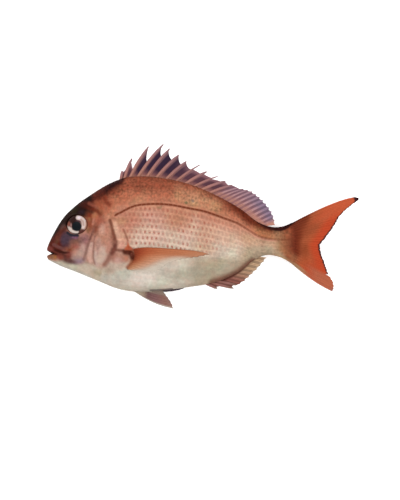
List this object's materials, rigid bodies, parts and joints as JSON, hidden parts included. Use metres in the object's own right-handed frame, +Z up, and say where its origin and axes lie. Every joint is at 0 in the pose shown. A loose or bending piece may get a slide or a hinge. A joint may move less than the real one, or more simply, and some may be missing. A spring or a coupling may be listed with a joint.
{
  "type": "whole raw fish",
  "caption": "Whole raw red sea bream lying on its side, with an arched back, large eyes, gill covers, spiny dorsal fin, long pectoral fins, spread pelvic fin and forked tail.",
  "frame": {"origin": "on the surface that the fish lies on, under the middle of its bounding box", "axes": "+X from the snout to the tail, +Y from the belly to the back, +Z up, out of the fish's left side"},
  "size_m": [0.3128, 0.1654, 0.0411],
  "materials": {
    "skin": "wet scaly fish skin, red-brown back shading through pink-orange flanks to a cream belly, with orange and purple-brown fins",
    "eye": "clear wet eyeball with a silvery pink-white iris and a dark round pupil"
  },
  "bodies": {
    "root": {"fish": "skin", "eye_left": "eye", "eye_right": "eye"}
  },
  "joints": []
}
